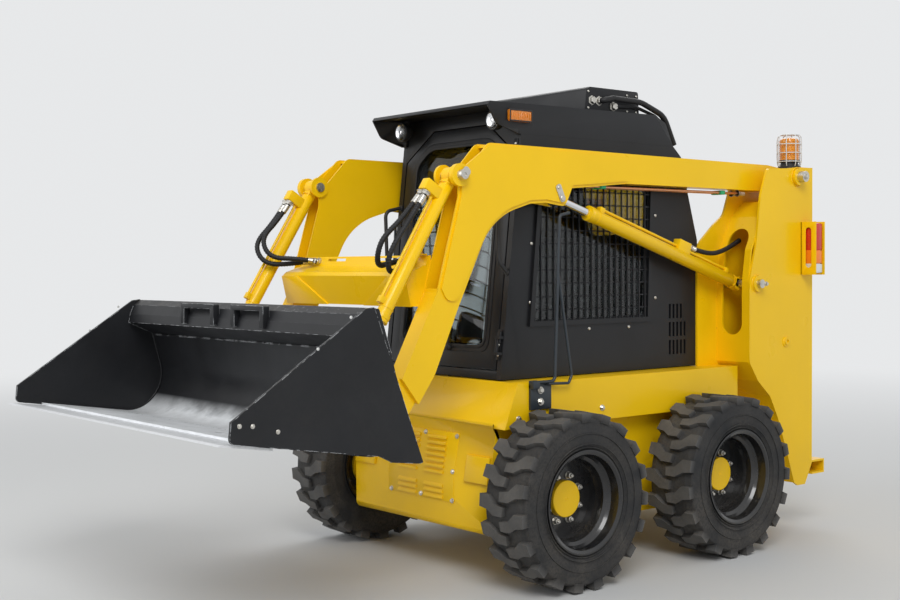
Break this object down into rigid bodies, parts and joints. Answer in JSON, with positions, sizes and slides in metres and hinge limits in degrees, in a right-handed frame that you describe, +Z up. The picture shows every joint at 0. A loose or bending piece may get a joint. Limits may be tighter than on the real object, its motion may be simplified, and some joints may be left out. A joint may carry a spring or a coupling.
{
  "type": "skid steer loader",
  "caption": "Compact wheeled skid steer loader with lift arms, tilting bucket, closed cab and rear engine bay.",
  "frame": {"origin": "middle of the bounding box on the ground", "axes": "+X forward towards the bucket, +Y to the machine's left, +Z up"},
  "size_m": [3.83, 1.878, 2.252],
  "materials": {
    "yellow_paint": "gloss",
    "black_paint": "satin",
    "tyre_rubber": "matte",
    "bare_steel": "worn",
    "zinc": "satin",
    "chrome": "polished",
    "glass": "clear",
    "seat_vinyl": "grained",
    "cast_grey": "cast"
  },
  "bodies": {
    "frame": {"aircon": "black_paint", "cab_front_frame": "black_paint", "cab_glass": "glass", "cab_rear": "black_paint", "cab_roof": "black_paint", "cab_side_left": "black_paint", "cab_side_right": "black_paint", "chassis": "yellow_paint", "engine_block": "cast_grey", "rear_bumper": "yellow_paint", "seat_back": "seat_vinyl", "seat_base": "black_paint", "seat_cushion": "seat_vinyl", "tower_left": "yellow_paint", "tower_pins": "zinc", "tower_right": "yellow_paint", "window_guards": "black_paint"},
    "wheel_front_left": {"tyre_front_left": "tyre_rubber", "rim_front_left": "black_paint", "hub_front_left": "yellow_paint"},
    "wheel_front_right": {"tyre_front_right": "tyre_rubber", "rim_front_right": "black_paint", "hub_front_right": "yellow_paint"},
    "wheel_rear_left": {"tyre_rear_left": "tyre_rubber", "rim_rear_left": "black_paint", "hub_rear_left": "yellow_paint"},
    "wheel_rear_right": {"tyre_rear_right": "tyre_rubber", "rim_rear_right": "black_paint", "hub_rear_right": "yellow_paint"},
    "lift_arms": {"lift_arm_left": "yellow_paint", "lift_arm_right": "yellow_paint", "cross_member": "yellow_paint", "tilt_pins": "zinc"},
    "lift_barrel_left": {"lift_barrel_left": "yellow_paint"},
    "lift_rod_left": {"lift_rod_left": "chrome"},
    "tilt_barrel_left": {"tilt_barrel_left": "yellow_paint"},
    "tilt_rod_left": {"tilt_rod_left": "chrome"},
    "lift_barrel_right": {"lift_barrel_right": "yellow_paint"},
    "lift_rod_right": {"lift_rod_right": "chrome"},
    "tilt_barrel_right": {"tilt_barrel_right": "yellow_paint"},
    "tilt_rod_right": {"tilt_rod_right": "chrome"},
    "bucket": {"bucket": "black_paint", "cutting_edge": "bare_steel", "coupler": "yellow_paint"},
    "cab_door": {"cab_door": "black_paint", "door_glass": "glass"},
    "hood": {"hood": "yellow_paint"},
    "rear_door": {"rear_door": "yellow_paint", "rear_grille": "black_paint"}
  },
  "joints": [
    {"name": "roll_front_left", "type": "hinge", "parent": "frame", "child": "wheel_front_left", "pos_m": [0.1, 0.728, 0.385], "axis": [0, 1, 0], "continuous": true},
    {"name": "roll_front_right", "type": "hinge", "parent": "frame", "child": "wheel_front_right", "pos_m": [0.1, -0.728, 0.385], "axis": [0, 1, 0], "continuous": true},
    {"name": "roll_rear_left", "type": "hinge", "parent": "frame", "child": "wheel_rear_left", "pos_m": [-0.94, 0.728, 0.385], "axis": [0, 1, 0], "continuous": true},
    {"name": "roll_rear_right", "type": "hinge", "parent": "frame", "child": "wheel_rear_right", "pos_m": [-0.94, -0.728, 0.385], "axis": [0, 1, 0], "continuous": true},
    {"name": "lift", "type": "hinge", "parent": "frame", "child": "lift_arms", "pos_m": [-1.67, 0, 1.851], "axis": [0, -1, 0], "range_deg": [-14.2, 46.4]},
    {"name": "tilt", "type": "hinge", "parent": "lift_arms", "child": "bucket", "pos_m": [0.96, 0, 0.775], "axis": [0, -1, 0], "range_deg": [-95, 28]},
    {"name": "lift_barrel_left_pivot", "type": "hinge", "parent": "frame", "child": "lift_barrel_left", "pos_m": [-1.335, 0.5195, 1.299], "axis": [0, -1, 0], "range_deg": [-14.42, 45.97]},
    {"name": "lift_rod_left_slide", "type": "slide", "parent": "lift_barrel_left", "child": "lift_rod_left", "axis": [0.9549, 0, 0.2968], "range_m": [-0.1557, 0.5041]},
    {"name": "tilt_barrel_left_pivot", "type": "hinge", "parent": "lift_arms", "child": "tilt_barrel_left", "pos_m": [0.565, 0.5195, 1.775], "axis": [0, -1, 0], "range_deg": [-1.06, 2.4]},
    {"name": "tilt_rod_left_slide", "type": "slide", "parent": "tilt_barrel_left", "child": "tilt_rod_left", "axis": [0.5314, 0, -0.8471], "range_m": [-0.1242, 0.4165]},
    {"name": "lift_barrel_right_pivot", "type": "hinge", "parent": "frame", "child": "lift_barrel_right", "pos_m": [-1.335, -0.5195, 1.299], "axis": [0, -1, 0], "range_deg": [-14.42, 45.97]},
    {"name": "lift_rod_right_slide", "type": "slide", "parent": "lift_barrel_right", "child": "lift_rod_right", "axis": [0.9549, 0, 0.2968], "range_m": [-0.1557, 0.5041]},
    {"name": "tilt_barrel_right_pivot", "type": "hinge", "parent": "lift_arms", "child": "tilt_barrel_right", "pos_m": [0.565, -0.5195, 1.775], "axis": [0, -1, 0], "range_deg": [-1.06, 2.4]},
    {"name": "tilt_rod_right_slide", "type": "slide", "parent": "tilt_barrel_right", "child": "tilt_rod_right", "axis": [0.5314, 0, -0.8471], "range_m": [-0.1242, 0.4165]},
    {"name": "cab_door_hinge", "type": "hinge", "parent": "frame", "child": "cab_door", "pos_m": [0.22176, 0.404, 0.93], "axis": [-0.1181, 0, 0.993], "range_deg": [0, 22]},
    {"name": "hood_hinge", "type": "hinge", "parent": "frame", "child": "hood", "pos_m": [-1.165, 0, 1.49], "axis": [0, 1, 0], "range_deg": [0, 55]},
    {"name": "rear_door_hinge", "type": "hinge", "parent": "frame", "child": "rear_door", "pos_m": [-1.862, 0.424, 0.9], "axis": [0, 0, -1], "range_deg": [0, 95]}
  ],
  "couplings": [
    {"joint": "lift_barrel_left_pivot", "follows": "lift", "ratio": 0.98},
    {"joint": "lift_rod_left_slide", "follows": "lift", "m_per_rad": 0.62},
    {"joint": "tilt_barrel_left_pivot", "follows": "tilt", "ratio": -0.02},
    {"joint": "tilt_rod_left_slide", "follows": "tilt", "m_per_rad": -0.25},
    {"joint": "lift_barrel_right_pivot", "follows": "lift", "ratio": 0.98},
    {"joint": "lift_rod_right_slide", "follows": "lift", "m_per_rad": 0.62},
    {"joint": "tilt_barrel_right_pivot", "follows": "tilt", "ratio": -0.02},
    {"joint": "tilt_rod_right_slide", "follows": "tilt", "m_per_rad": -0.25}
  ]
}
